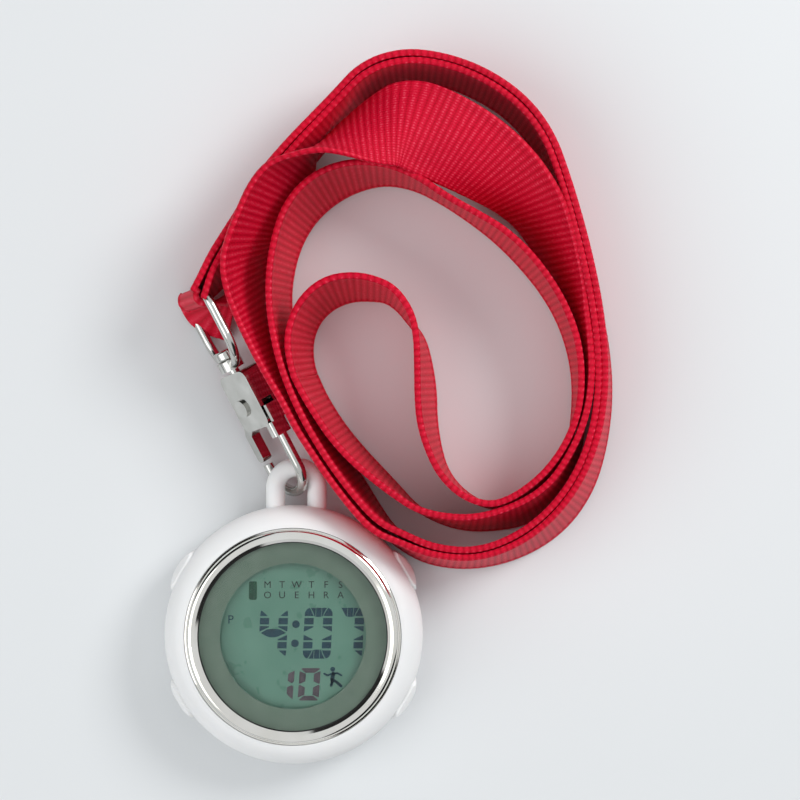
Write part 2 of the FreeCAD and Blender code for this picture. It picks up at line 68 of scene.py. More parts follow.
# ---------------------------------------------------------------- camera
CAMERA_X = 0.01907
CAMERA_Y = 0.04206
CAMERA_HEIGHT = 0.45
VIEW_WIDTH = 0.146
SENSOR_WIDTH = 36.0


def make_camera():
    """The watch and its strap are seen from straight above."""
    data = bpy.data.cameras.new("camera")
    data.sensor_width = SENSOR_WIDTH
    data.lens = SENSOR_WIDTH * CAMERA_HEIGHT / VIEW_WIDTH
    camera = bpy.data.objects.new("camera", data)
    camera.location = (CAMERA_X, CAMERA_Y, CAMERA_HEIGHT)
    bpy.context.scene.collection.objects.link(camera)
    bpy.context.scene.camera = camera


make_camera()

# ---------------------------------------------------------------- neck strap
STRAP_WIDTH = 0.016
STRAP_THICKNESS = 0.0009
RIM_WIDTH = 0.0011
RIM_EXTRA = 0.00016
RIB_PITCH = 0.0012
LEAD_LENGTH = 0.0140
RIB_HEIGHT = 0.00010
STRAP_STEP = 0.0002
SPLINE_STEPS = 10
SMOOTH_STEPS = 6
FLAT_PARTS = 8
RIM_PLACES = 4

# Each strap point is x, y, z and the lean in degrees of the edge that is on top where the strap
# leaves the clip: 0 stands upright, and a positive lean is to the right of the way it runs.
OUTER_HALF = (
    (-0.0184, 0.0608, 0.0095, 4), (-0.0158, 0.0636, 0.0090, -4), (-0.0128, 0.0672, 0.0088, -12),
    (-0.0096, 0.0716, 0.0085, -14), (-0.0070, 0.0764, 0.0083, -12), (-0.0043, 0.0810, 0.0083, -12),
    (-0.0007, 0.0853, 0.0083, -12), (0.0035, 0.0900, 0.0083, -11), (0.0081, 0.0952, 0.0084, -8),
    (0.0127, 0.1006, 0.0084, -6), (0.0196, 0.1028, 0.0085, -6), (0.0270, 0.1019, 0.0085, -6),
    (0.0342, 0.0992, 0.0085, -6), (0.0407, 0.0948, 0.0085, -5), (0.0454, 0.0888, 0.0085, -4),
    (0.0483, 0.0815, 0.0085, -2), (0.0508, 0.0741, 0.0085, 0), (0.0530, 0.0665, 0.0085, 2),
    (0.0548, 0.0588, 0.0085, 4), (0.0560, 0.0509, 0.0085, 6), (0.0563, 0.0430, 0.0084, 8),
    (0.0552, 0.0346, 0.0084, 10), (0.0525, 0.0267, 0.0083, 14), (0.0476, 0.0200, 0.0083, 15),
    (0.0406, 0.0152, 0.0083, 12), (0.0324, 0.0128, 0.0084, 9), (0.0243, 0.0136, 0.0084, 9),
    (0.0176, 0.0172, 0.0084, 4), (0.0142, 0.0199, 0.0085, -4), (0.0108, 0.0244, 0.0085, -8),
    (0.0077, 0.0289, 0.0084, -10), (0.0049, 0.0335, 0.0083, -12), (0.0022, 0.0382, 0.0083, -14),
    (0.0000, 0.0432, 0.0083, -16), (-0.0026, 0.0481, 0.0083, -19), (-0.0048, 0.0530, 0.0085, -21),
    (-0.0068, 0.0580, 0.0090, -24), (-0.0083, 0.0625, 0.0100, -25), (-0.0086, 0.0668, 0.0112, -26),
    (-0.0073, 0.0709, 0.0128, -26), (-0.0052, 0.0755, 0.0136, -26), (-0.0027, 0.0799, 0.0142, -28),
    (0.0004, 0.0834, 0.0147, -22), (0.0031, 0.0862, 0.0150, 2), (0.0084, 0.0885, 0.0150, 22),
    (0.0143, 0.0902, 0.0156, 52), (0.0199, 0.0912, 0.0174, 80), (0.0251, 0.0889, 0.0176, 99),
    (0.0305, 0.0862, 0.0165, 110), (0.0355, 0.0830, 0.0145, 123), (0.0401, 0.0792, 0.0123, 137),
    (0.0439, 0.0748, 0.0103, 149), (0.0466, 0.0697, 0.0090, 156), (0.0486, 0.0641, 0.0085, 160),
    (0.0500, 0.0583, 0.0083, 166), (0.0514, 0.0525, 0.0084, 171), (0.0523, 0.0465, 0.0085, 176),
    (0.0521, 0.0405, 0.0085, 180), (0.0508, 0.0340, 0.0085, 188), (0.0479, 0.0276, 0.0083, 194),
    (0.0446, 0.0239, 0.0083, 197), (0.0405, 0.0215, 0.0083, 197), (0.0358, 0.0203, 0.0084, 193),
    (0.0310, 0.0199, 0.0085, 190), (0.0263, 0.0207, 0.0085, 186), (0.0218, 0.0225, 0.0085, 181),
    (0.0182, 0.0257, 0.0085, 176), (0.0147, 0.0289, 0.0085, 173), (0.0112, 0.0323, 0.0085, 171),
    (0.0081, 0.0359, 0.0084, 170), (0.0054, 0.0399, 0.0084, 170), (0.0030, 0.0440, 0.0084, 169),
    (0.0021, 0.0461, 0.0083, 168),
)
INNER_HALF = (
    (-0.0162, 0.0596, 0.0093, 4), (-0.0144, 0.0628, 0.0090, -4), (-0.0116, 0.0663, 0.0088, -12),
    (-0.0085, 0.0708, 0.0083, -14), (-0.0059, 0.0757, 0.0080, -12), (-0.0032, 0.0803, 0.0080, -12),
    (0.0004, 0.0845, 0.0080, -12), (0.0045, 0.0891, 0.0082, -11), (0.0089, 0.0942, 0.0084, -8),
    (0.0133, 0.0993, 0.0084, -6), (0.0198, 0.1014, 0.0085, -6), (0.0267, 0.1006, 0.0085, -6),
    (0.0335, 0.0980, 0.0085, -6), (0.0397, 0.0938, 0.0085, -5), (0.0442, 0.0882, 0.0085, -4),
    (0.0471, 0.0810, 0.0085, -2), (0.0496, 0.0737, 0.0085, 0), (0.0518, 0.0661, 0.0085, 2),
    (0.0536, 0.0586, 0.0085, 4), (0.0548, 0.0508, 0.0085, 6), (0.0551, 0.0431, 0.0084, 8),
    (0.0540, 0.0351, 0.0084, 10), (0.0514, 0.0275, 0.0083, 14), (0.0467, 0.0210, 0.0083, 15),
    (0.0401, 0.0165, 0.0083, 12), (0.0325, 0.0142, 0.0084, 9), (0.0248, 0.0150, 0.0084, 8),
    (0.0188, 0.0183, 0.0084, 4), (0.0154, 0.0211, 0.0085, -4), (0.0121, 0.0255, 0.0085, -8),
    (0.0090, 0.0299, 0.0084, -10), (0.0063, 0.0344, 0.0083, -12), (0.0037, 0.0391, 0.0083, -13),
    (0.0015, 0.0440, 0.0083, -14), (-0.0005, 0.0490, 0.0084, -13), (-0.0019, 0.0540, 0.0085, -11),
    (-0.0026, 0.0590, 0.0085, -11), (-0.0025, 0.0641, 0.0085, -12), (-0.0014, 0.0700, 0.0085, -14),
    (0.0009, 0.0755, 0.0083, -18), (0.0049, 0.0797, 0.0083, -19), (0.0102, 0.0822, 0.0083, -15),
    (0.0162, 0.0828, 0.0084, -8), (0.0219, 0.0812, 0.0085, -3), (0.0270, 0.0781, 0.0085, 0),
    (0.0321, 0.0750, 0.0085, -2), (0.0370, 0.0717, 0.0085, -5), (0.0413, 0.0676, 0.0085, -6),
    (0.0450, 0.0630, 0.0085, -5), (0.0480, 0.0580, 0.0085, -4), (0.0501, 0.0524, 0.0085, -3),
    (0.0510, 0.0465, 0.0085, -1), (0.0508, 0.0405, 0.0085, 1), (0.0494, 0.0347, 0.0085, 6),
    (0.0466, 0.0293, 0.0084, 11), (0.0432, 0.0259, 0.0084, 12), (0.0392, 0.0237, 0.0084, 9),
    (0.0347, 0.0231, 0.0085, 3), (0.0303, 0.0251, 0.0085, -1), (0.0269, 0.0287, 0.0085, -4),
    (0.0250, 0.0334, 0.0085, -8), (0.0239, 0.0384, 0.0084, -11), (0.0237, 0.0435, 0.0084, -12),
    (0.0233, 0.0486, 0.0084, -9), (0.0226, 0.0530, 0.0085, -5), (0.0212, 0.0562, 0.0085, 2),
    (0.0194, 0.0591, 0.0085, 5), (0.0170, 0.0613, 0.0084, 8), (0.0138, 0.0621, 0.0083, 12),
    (0.0105, 0.0623, 0.0083, 14), (0.0072, 0.0616, 0.0083, 16), (0.0044, 0.0598, 0.0083, 16),
    (0.0022, 0.0570, 0.0083, 15), (0.0009, 0.0529, 0.0083, 14), (0.0013, 0.0483, 0.0083, 12),
    (0.0021, 0.0461, 0.0083, 12),
)
FOLD_SKEW = 0.3


def spline_points(places):
    """A smooth line that runs close to the places, as a second-order NURBS spline."""
    curve = bpy.data.curves.new("route", "CURVE")
    curve.dimensions = "3D"
    curve.resolution_u = SPLINE_STEPS
    spline = curve.splines.new("NURBS")
    spline.points.add(len(places) - 1)
    for point, place in zip(spline.points, places):
        point.co = (*place, 1.0)
    spline.order_u = 3
    spline.use_endpoint_u = True
    holder = bpy.data.objects.new("route", curve)
    mesh = bpy.data.meshes.new_from_object(holder)
    line = [vertex.co.copy() for vertex in mesh.vertices]
    bpy.data.meshes.remove(mesh)
    bpy.data.objects.remove(holder)
    bpy.data.curves.remove(curve)
    return line


def even_steps(line, leans, step):
    """Places and leans at equal distances along a line, and its length."""
    along = [0.0]
    for before, after in zip(line, line[1:]):
        along.append(along[-1] + (after - before).length)
    count = max(2, round(along[-1] / step))
    places = []
    turned = []
    k = 0
    for i in range(count + 1):
        s = along[-1] * i / count
        while k < len(line) - 2 and along[k + 1] < s:
            k += 1
        part = (s - along[k]) / (along[k + 1] - along[k])
        places.append(line[k].lerp(line[k + 1], part))
        turned.append(leans[k] + (leans[k + 1] - leans[k]) * part)
    return places, turned, along[-1]


def strap_section():
    """Places across the strap and the half thickness there, thicker at the stitched rims."""
    half = STRAP_WIDTH / 2
    inner = half - RIM_WIDTH
    flat = STRAP_THICKNESS / 2
    rim = flat + RIM_EXTRA
    across = [(-half, flat * 0.35), (-half + 0.0002, rim * 0.85), (-half + 0.0006, rim)]
    across.append((-inner, flat * 0.9))
    for i in range(1, FLAT_PARTS):
        across.append((-inner + 2 * inner * i / FLAT_PARTS, flat))
    across += [(-v, thick) for v, thick in reversed(across[:RIM_PLACES])]
    return across


def travel_ways(places):
    """At each place: the way along the strap, the level way to its right, and the way up."""
    last = len(places) - 1
    ways = []
    for i in range(len(places)):
        ahead = places[min(last, i + SMOOTH_STEPS)] - places[max(0, i - SMOOTH_STEPS)]
        ahead.normalize()
        right = Vector((ahead.y, -ahead.x, 0.0)).normalized()
        ways.append((ahead, right, right.cross(ahead).normalized()))
    return ways


def core_row(centre, section, ways):
    """Mid-thickness places across the strap, laid out from its centre along the given ways."""
    core = [None] * len(section)
    middle = len(section) // 2
    core[middle] = centre.copy()
    for j in range(middle + 1, len(section)):
        gap = section[j][0] - section[j - 1][0]
        core[j] = core[j - 1] + (ways[j] + ways[j - 1]) * 0.5 * gap
    for j in range(middle - 1, -1, -1):
        gap = section[j + 1][0] - section[j][0]
        core[j] = core[j + 1] - (ways[j] + ways[j + 1]) * 0.5 * gap
    return core


def rings_to_faces(count, ring):
    """Side faces between the rings round the strap, and its two cut ends."""
    faces = []
    for i in range(count - 1):
        for j in range(ring):
            k = (j + 1) % ring
            faces.append((i * ring + j, i * ring + k, (i + 1) * ring + k, (i + 1) * ring + j))
    last = (count - 1) * ring
    for j in range(ring // 2 - 1):
        faces.append((j, ring - 1 - j, ring - 2 - j, j + 1))
        faces.append((last + j, last + j + 1, last + ring - 2 - j, last + ring - 1 - j))
    return faces


def strap_mesh(name, places, leans, step, skew=0.0, width_way=None, width_part=1.0):
    """A ribbed woven strap along a line of places, leaning by the degrees given at each."""
    last = len(places) - 1
    section = [(v * width_part, thick) for v, thick in strap_section()]
    lags = [round(skew * v / step) for v, _ in section]
    points = []
    uvs = []
    for i, (ahead, right, stand) in enumerate(travel_ways(places)):
        ways = []
        for lag in lags:
            lean = math.radians(leans[min(last, max(0, i + lag))]) if leans else 0.0
            ways.append(width_way or stand * math.cos(lean) + right * math.sin(lean))
        core = core_row(places[i], section, ways)
        s = i * step
        rib = RIB_HEIGHT * (abs(math.sin(math.pi * s / RIB_PITCH)) - 0.6)
        front = []
        back = []
        for j, (v, thick) in enumerate(section):
            face = ahead.cross(ways[j])
            in_rim = j < RIM_PLACES - 1 or j > len(section) - RIM_PLACES
            lift = thick + (0.3 * rib if in_rim else rib)
            front.append(core[j] + face * lift)
            back.append(core[j] - face * lift)
        points += front + back[::-1]
        row = [(s, v) for v, _ in section]
        uvs += row + row[::-1]
    faces = rings_to_faces(len(places), 2 * len(section))
    mesh = bpy.data.meshes.new(name)
    mesh.from_pydata([tuple(p) for p in points], [], faces)
    mesh.validate()
    layer = mesh.uv_layers.new(name="weave")
    for loop in mesh.loops:
        u, v = uvs[loop.vertex_index]
        layer.data[loop.index].uv = (u / STRAP_WIDTH, v / STRAP_WIDTH + 0.5)
    mesh.polygons.foreach_set("use_smooth", [True] * len(mesh.polygons))
    piece = bpy.data.objects.new(name, mesh)
    bpy.context.scene.collection.objects.link(piece)
    return piece


def strap_half(name, route):
    """One half of the strap: its lead at the clip, its loose turns, and the turns' path."""
    line = spline_points([point[:3] for point in route])
    lean_line = spline_points([(point[3] * MM, 0.0, 0.0) for point in route])
    leans = [p.x / MM for p in lean_line]
    places, turned, length = even_steps(line, leans, STRAP_STEP)
    step = length / (len(places) - 1)
    skew = FOLD_SKEW if max(turned) > 90 else 0.0
    cut = round(LEAD_LENGTH / step)
    turns = strap_mesh("strap_" + name, places[cut:], turned[cut:], step, skew)
    lead = strap_mesh("strap_lead_" + name, places[:cut + 1], turned[:cut + 1], step)
    path = places[cut::4] + [places[-1]]
    return turns, lead, path, length - cut * step


CLIP_EYE_BAR = Vector((-0.01734, 0.0603, 0.00951))
halves = []
for half_name, route in (("outer_half", OUTER_HALF), ("inner_half", INNER_HALF)):
    turns, lead, path, length = strap_half(half_name, route)
    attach(turns, "watch")
    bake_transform(lead)
    halves.append((turns, lead))
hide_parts("strap_coil")
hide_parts("strap_lead")

# The sewn end turns round the bar of the clip's eye, which stands nearly upright, and its tail
# lies folded inside the eye.
BAR_WAY = Vector((0.3037, 0.0487, 0.9516))
BAR_WRAP_R = 0.00145
WRAP_START = 75.0
WRAP_TURN = 210.0
WRAP_STEPS = 44
TAIL = (
    (-0.0160, 0.0594, 0.0088, -6), (-0.0146, 0.0590, 0.0076, -28), (-0.0128, 0.0588, 0.0066, -42),
    (-0.0108, 0.0587, 0.0062, -46),
)


def bar_wrap():
    """The strap's turn round the bar, a part circle about the bar's own line."""
    lead_way = Vector((0.55, 0.83, 0.0))
    lead_way = (lead_way - BAR_WAY * lead_way.dot(BAR_WAY)).normalized()
    across = BAR_WAY.cross(lead_way)
    places = []
    for i in range(WRAP_STEPS + 1):
        angle = math.radians(WRAP_START + WRAP_TURN * i / WRAP_STEPS)
        spoke = lead_way * math.cos(angle) + across * math.sin(angle)
        places.append(CLIP_EYE_BAR + spoke * BAR_WRAP_R)
    step = (places[1] - places[0]).length
    return strap_mesh("strap_bar_wrap", places, None, step, width_way=BAR_WAY, width_part=0.8)


wrap = bar_wrap()
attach(wrap, "clip_eye")
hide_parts("strap_bar_loop")
tail_line = spline_points([point[:3] for point in TAIL])
tail_leans = [p.x / MM for p in spline_points([(point[3] * MM, 0.0, 0.0) for point in TAIL])]
tail_places, tail_turned, tail_length = even_steps(tail_line, tail_leans, STRAP_STEP)
tail = strap_mesh("strap_tail", tail_places, tail_turned, STRAP_STEP)
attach(tail, "clip")
straps = [piece for pair in halves for piece in pair] + [wrap, tail]

# Each pusher's return spring, which closes up between the case and the pusher's head, gets a mesh of
# its own.
BUTTON_ANGLES = (30.0, 150.0, 210.0, 330.0)
for number, angle in enumerate(BUTTON_ANGLES, start=1):
    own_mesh(frame["nodes"]["pusher_spring_%d" % number])


# ---------------------------------------------------------------- display marks
# The marks that the display shows lie on its front film as thin plates. Places are in millimetres
# from the middle of the display window, x to the right and y up.
WINDOW_MIDDLE = (0.0, 0.0)
MARK_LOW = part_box("lcd_front_polariser")[1][2]
MARK_THICKNESS = 0.00004
MARK_GAP = 0.000005
DIGIT_WIDTH = 5.0
DIGIT_SUM = 0.76
DIGIT_SLANT = 0.05
STROKE = 1.66


def plates(name, outlines, body="watch"):
    """Thin flat plates with the given outlines, as one piece."""
    points = []
    faces = []
    for outline in outlines:
        area = sum(a[0] * b[1] - b[0] * a[1] for a, b in zip(outline, outline[1:] + outline[:1]))
        if area < 0:
            outline = outline[::-1]
        first = len(points)
        count = len(outline)
        for z in (MARK_LOW + MARK_GAP, MARK_LOW + MARK_THICKNESS):
            for x, y in outline:
                points.append((WINDOW_MIDDLE[0] + x * MM, WINDOW_MIDDLE[1] + y * MM, z))
        faces.append(tuple(first + count + k for k in range(count)))
        faces.append(tuple(first + k for k in reversed(range(count))))
        for k in range(count):
            n = (k + 1) % count
            faces.append((first + k, first + n, first + count + n, first + count + k))
    mesh = bpy.data.meshes.new(name)
    mesh.from_pydata(points, [], faces)
    piece = bpy.data.objects.new(name, mesh)
    bpy.context.scene.collection.objects.link(piece)
    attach(piece, body)
    return piece


def flip_x(outline):
    return [(DIGIT_WIDTH - x, y) for x, y in outline]


def flip_y(outline):
    return [(x, DIGIT_SUM - y) for x, y in outline]


def placed(outlines, x0, y0=0.0):
    """Digit parts at their place, with the digit's slant."""
    return [[(x0 + x + DIGIT_SLANT * y, y0 + y) for x, y in outline] for outline in outlines]


corner = [(0.0, 3.45), (0.05, 4.15), (0.4, 4.7), (0.85, 4.93), (1.35, 4.1), (1.62, 3.45)]
top_bars = (
    [(1.05, 4.93), (1.95, 4.93), (1.95, 3.35), (1.75, 3.4), (1.5, 4.1)],
    [(2.03, 4.93), (2.97, 4.93), (2.97, 3.3), (2.03, 3.3)],
    [(3.95, 4.93), (3.05, 4.93), (3.05, 3.35), (3.25, 3.4), (3.5, 4.1)],
)
block = [(0.0, 1.95), (0.0, 3.1), (STROKE, 3.1), (STROKE, 1.95)]
wedge = [(0.0, 0.66), (0.0, 1.65), (STROKE, 1.65), (STROKE, 1.45)]
spike = [(0.1, 4.4), (0.35, 4.35), (1.4, 3.45), (0.0, 3.45)]
upper_left = [block, wedge]
upper_right = [flip_x(part) for part in upper_left]
lower_left = [flip_y(part) for part in upper_left]
lower_right = [flip_x(part) for part in lower_left]
zero = upper_left + upper_right + lower_left + lower_right + [corner, flip_x(corner)]
zero += [flip_y(corner), flip_x(flip_y(corner))]
zero += [list(bar) for bar in top_bars] + [flip_y(bar) for bar in top_bars]
lens = [(0.25, 0.42), (1.3, 1.05), (2.0, 1.15), (3.1, 1.15), (3.8, 1.0), (4.75, 0.45),
        (3.4, -0.2), (2.8, -0.35), (1.9, -0.35), (1.2, -0.1)]
four = upper_left + upper_right + lower_right + [spike, flip_x(spike), lens]
four.append(flip_x(flip_y(spike)))
seven = upper_right + lower_right + [flip_x(corner), flip_x(flip_y(spike))]
seven += [[(0.85, 4.93), (1.95, 4.93), (1.95, 3.35), (1.75, 3.4)]]
seven += [list(bar) for bar in top_bars[1:]]


def disc_outline(x, y, radius, count=28):
    angles = [2 * math.pi * k / count for k in range(count)]
    return [(x + radius * math.cos(a), y + radius * math.sin(a)) for a in angles]


def stroke_outlines(points, width):
    """A thick line through points, as one plate for each run and a round at each joint."""
    made = [disc_outline(x, y, width / 2, 14) for x, y in points]
    for (xa, ya), (xb, yb) in zip(points, points[1:]):
        length = math.hypot(xb - xa, yb - ya)
        dx = (yb - ya) / length * width / 2
        dy = (xb - xa) / length * width / 2
        made.append([(xa - dx, ya + dy), (xa + dx, ya - dy), (xb + dx, yb - dy), (xb - dx, yb + dy)])
    return made


time_marks = placed(four, -6.1) + placed(zero, 1.85) + placed(seven, 7.5)
time_marks += [disc_outline(0.48, 2.0, 0.68), disc_outline(0.30, -1.42, 0.68)]
time_piece = plates("display_time", time_marks)

SMALL_TOP = -5.85
SMALL_HEIGHT = 5.8
SMALL_STROKE = 1.15


def small_zero(x0, width):
    """The small digit nought, in six bars with mitred ends."""
    w = SMALL_STROKE
    mid = SMALL_HEIGHT / 2
    gap = 0.13
    half = [(0.0, -0.55), (0.0, -mid + 0.15), (0.25, -mid + 0.1), (w, -mid + 0.55), (w, -1.0)]
    bar = [(0.25, -0.15), (0.5, 0.0), (width - 0.3, 0.0), (width - 0.1, -0.15),
           (width - w + gap, -0.85), (w - gap, -0.85)]
    sides = [half, [(width - x, y) for x, y in half]]
    parts = sides + [bar]
    parts += [[(x, -SMALL_HEIGHT - y) for x, y in part] for part in parts]
    return slanted(parts, x0)


def small_one(x0):
    upper = [(0.25, -0.9), (1.2, -0.45), (1.2, -2.4), (0.85, -2.7), (0.1, -2.3), (0.1, -1.1)]
    lower = [(0.05, -3.4), (0.85, -3.05), (1.2, -3.3), (1.2, -5.6), (0.35, -4.9), (0.05, -4.5)]
    return slanted([upper, lower], x0)


def slanted(parts, x0):
    return [[(x0 + x + 0.075 * (y + SMALL_HEIGHT), SMALL_TOP + y) for x, y in part]
            for part in parts]


small_piece = plates("display_seconds", small_one(-1.35) + small_zero(0.75, 3.75))

runner = [disc_outline(7.05, -6.05, 0.43)]
runner_arms = [(5.55, -6.85), (6.1, -7.15), (6.95, -6.85), (7.9, -6.75), (8.6, -7.15)]
runner += stroke_outlines(runner_arms, 0.36)
runner += stroke_outlines([(7.15, -6.85), (6.95, -7.9)], 0.72)
runner += stroke_outlines([(6.9, -7.9), (6.95, -8.4), (6.75, -8.95)], 0.5)
runner += stroke_outlines([(7.0, -7.9), (7.75, -8.35), (8.55, -9.05)], 0.5)
runner_piece = plates("display_runner", runner)

cursor = [(-7.9, 9.45), (-7.75, 9.65), (-6.65, 9.65), (-6.5, 9.45), (-6.5, 6.65), (-6.7, 6.35),
          (-7.7, 6.35), (-7.95, 6.65)]
cursor_piece = plates("display_day_mark", [cursor])


def letters(name, rows):
    """Generic weekday letters, cut as thin plates."""
    pieces = []
    for text, x, y, size in rows:
        curve = bpy.data.curves.new(name, "FONT")
        curve.body = text
        curve.size = size * MM
        curve.extrude = MARK_THICKNESS / 2
        curve.resolution_u = 3
        curve.align_x = "CENTER"
        curve.align_y = "CENTER"
        holder = bpy.data.objects.new(name, curve)
        mesh = bpy.data.meshes.new_from_object(holder)
        for vertex in mesh.vertices:
            vertex.co.x += WINDOW_MIDDLE[0] + x * MM
            vertex.co.y += WINDOW_MIDDLE[1] + y * MM
            vertex.co.z += MARK_LOW + MARK_GAP + MARK_THICKNESS / 2
        bpy.data.objects.remove(holder)
        bpy.data.curves.remove(curve)
        pieces.append(mesh)
    points = []
    faces = []
    for mesh in pieces:
        first = len(points)
        points += [tuple(vertex.co) for vertex in mesh.vertices]
        faces += [tuple(first + k for k in face.vertices) for face in mesh.polygons]
        bpy.data.meshes.remove(mesh)
    joined = bpy.data.meshes.new(name)
    joined.from_pydata(points, [], faces)
    piece = bpy.data.objects.new(name, joined)
    bpy.context.scene.collection.objects.link(piece)
    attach(piece, "watch")
    return piece


DAY_PLACES = (-4.6, -2.0, 0.6, 3.25, 5.85, 8.45)
day_rows = [(text, x, 9.0, 1.75) for text, x in zip("MTWTFS", DAY_PLACES)]
day_rows += [(text, x, 7.15, 1.75) for text, x in zip("OUEHRA", DAY_PLACES)]
day_piece = letters("display_days", day_rows)
half_day_piece = letters("display_half_day", [("P", -11.2, 2.75, 2.2)])


# ---------------------------------------------------------------- materials
def new_material(name, colour=(0.8, 0.8, 0.8), roughness=0.5, metallic=0.0):
    material = bpy.data.materials.new(name)
    material.use_nodes = True
    shader = material.node_tree.nodes["Principled BSDF"]
    shader.inputs["Base Color"].default_value = (*colour, 1.0)
    shader.inputs["Roughness"].default_value = roughness
    shader.inputs["Metallic"].default_value = metallic
    return material, material.node_tree, shader


def add_node(tree, kind, **sockets):
    node = tree.nodes.new(kind)
    for key, value in sockets.items():
        node.inputs[key.replace("_", " ")].default_value = value
    return node


def noise(tree, scale, detail=3.0):
    place = tree.nodes.new("ShaderNodeTexCoord")
    node = add_node(tree, "ShaderNodeTexNoise", Scale=scale, Detail=detail)
    tree.links.new(place.outputs["Object"], node.inputs["Vector"])
    return node.outputs["Fac"]


def ramp(tree, value, stops):
    """A colour ramp with (place, colour) stops."""
    node = tree.nodes.new("ShaderNodeValToRGB")
    tree.links.new(value, node.inputs["Fac"])
    elements = node.color_ramp.elements
    while len(elements) < len(stops):
        elements.new(0.5)
    for element, (where, colour) in zip(elements, stops):
        element.position = where
        element.color = (*colour, 1.0)
    return node.outputs["Color"]


def product(tree, first, second):
    """Two colours multiplied."""
    mix = tree.nodes.new("ShaderNodeMix")
    mix.data_type = "RGBA"
    mix.blend_type = "MULTIPLY"
    mix.inputs["Factor"].default_value = 1.0
    tree.links.new(first, mix.inputs[6])
    tree.links.new(second, mix.inputs[7])
    return mix.outputs[2]


def bump(tree, shader, height, strength, distance):
    node = add_node(tree, "ShaderNodeBump", Strength=strength, Distance=distance)
    tree.links.new(height, node.inputs["Height"])
    tree.links.new(node.outputs["Normal"], shader.inputs["Normal"])


def varied(name, dark, light, rough, metallic=0.0, scale=120.0, grain=3000.0, relief=0.00002,
           strength=0.3):
    """A surface with a slight change of tone, uneven gloss and a fine grain."""
    material, tree, shader = new_material(name, light, sum(rough) / 2, metallic)
    broad = noise(tree, scale)
    tree.links.new(ramp(tree, broad, ((0.3, dark), (0.7, light))), shader.inputs["Base Color"])
    patchy = noise(tree, scale * 2.3)
    tree.links.new(ramp(tree, patchy, ((0.3, (rough[0],) * 3), (0.7, (rough[1],) * 3))),
                   shader.inputs["Roughness"])
    bump(tree, shader, noise(tree, grain), strength, relief)
    return material, shader


def maths_in(tree):
    def maths(kind, a, b=None):
        node = tree.nodes.new("ShaderNodeMath")
        node.operation = kind
        for socket, value in zip(node.inputs, (a, b)):
            if value is None:
                continue
            if isinstance(value, (int, float)):
                socket.default_value = value
            else:
                tree.links.new(value, socket)
        return node.outputs[0]
    return maths


def webbing_material():
    """Red ribbed webbing: painted highlights on the thread crests, painted shade in the grooves and
    a fine weave.
    """
    material, tree, shader = new_material("red_woven_strap", (0.7, 0.01, 0.03), 0.5)
    shader.inputs["Sheen Weight"].default_value = 0.05
    shader.inputs["Sheen Roughness"].default_value = 0.3
    shader.inputs["Sheen Tint"].default_value = (1.0, 0.1, 0.16, 1.0)
    shader.inputs["Specular IOR Level"].default_value = 0.25
    shader.inputs["Specular Tint"].default_value = (1.0, 0.45, 0.5, 1.0)
    maths = maths_in(tree)
    uv = tree.nodes.new("ShaderNodeUVMap")
    uv.uv_map = "weave"
    parts = tree.nodes.new("ShaderNodeSeparateXYZ")
    tree.links.new(uv.outputs["UV"], parts.inputs[0])
    along = maths("MULTIPLY", parts.outputs["X"], math.pi * STRAP_WIDTH / RIB_PITCH)
    rib = maths("ABSOLUTE", maths("SINE", along))
    warp = maths("ABSOLUTE", maths("SINE", maths("MULTIPLY", parts.outputs["Y"], math.pi * 34)))
    fine = noise(tree, 2600.0, 2.0)
    broad = noise(tree, 70.0, 3.0)
    weave = maths("ADD", maths("MULTIPLY", rib, 0.42), maths("MULTIPLY", fine, 0.42))
    thread = maths("ADD", weave, maths("MULTIPLY", warp, 0.16))
    # The red dye, with painted shade at the dark end of the ramp in the rib grooves and a painted
    # highlight at its pink top stop on the thread crests.
    dye_with_painted_light = ramp(tree, thread, ((0.10, (0.34, 0.001, 0.012)), (0.40, (0.60, 0.002, 0.022)),
                               (0.70, (0.74, 0.006, 0.038)), (0.92, (0.95, 0.11, 0.17))))
    tone = ramp(tree, broad, ((0.3, (0.84, 0.84, 0.84)), (0.7, (1.0, 1.0, 1.0))))
    tree.links.new(product(tree, dye_with_painted_light, tone), shader.inputs["Base Color"])
    height = maths("ADD", maths("MULTIPLY", warp, 0.5), maths("MULTIPLY", fine, 0.7))
    bump(tree, shader, maths("ADD", height, rib), 0.6, 0.00012)
    return material


def glass_material(name, colour, roughness, ior):
    material, _, shader = new_material(name, colour, roughness)
    shader.inputs["Transmission Weight"].default_value = 1.0
    shader.inputs["IOR"].default_value = ior
    return material


webbing = webbing_material()
for strap in straps:
    strap.data.materials.append(webbing)

silicone, silicone_shader = varied("white_silicone", (0.88, 0.885, 0.88), (0.93, 0.93, 0.925),
                                   (0.42, 0.55), scale=60.0, grain=2200.0, strength=0.15)
silicone_shader.inputs["Subsurface Weight"].default_value = 0.15
silicone_shader.inputs["Subsurface Radius"].default_value = (0.002, 0.0018, 0.0016)
silicone_shader.inputs["Subsurface Scale"].default_value = 1.0
chrome, _ = varied("bezel_chrome", (0.80, 0.78, 0.72), (0.92, 0.91, 0.87), (0.04, 0.12), 1.0,
                   scale=90.0, grain=900.0, strength=0.08)
nickel, _ = varied("bright_nickel", (0.52, 0.52, 0.49), (0.66, 0.66, 0.63), (0.10, 0.20), 1.0,
                   scale=300.0, grain=1500.0, strength=0.15)
steel, _ = varied("stainless_steel", (0.50, 0.51, 0.52), (0.66, 0.67, 0.68), (0.22, 0.38), 1.0)
brass, _ = varied("plated_brass", (0.62, 0.45, 0.18), (0.80, 0.62, 0.30), (0.18, 0.32), 1.0)
sage, _ = varied("dial_mask_paint", (0.118, 0.182, 0.135), (0.145, 0.210, 0.160), (0.35, 0.5),
                 scale=400.0)
display, _ = varied("display_face", (0.110, 0.255, 0.190), (0.140, 0.295, 0.222), (0.25, 0.4),
                    scale=130.0, grain=5000.0, strength=0.05)
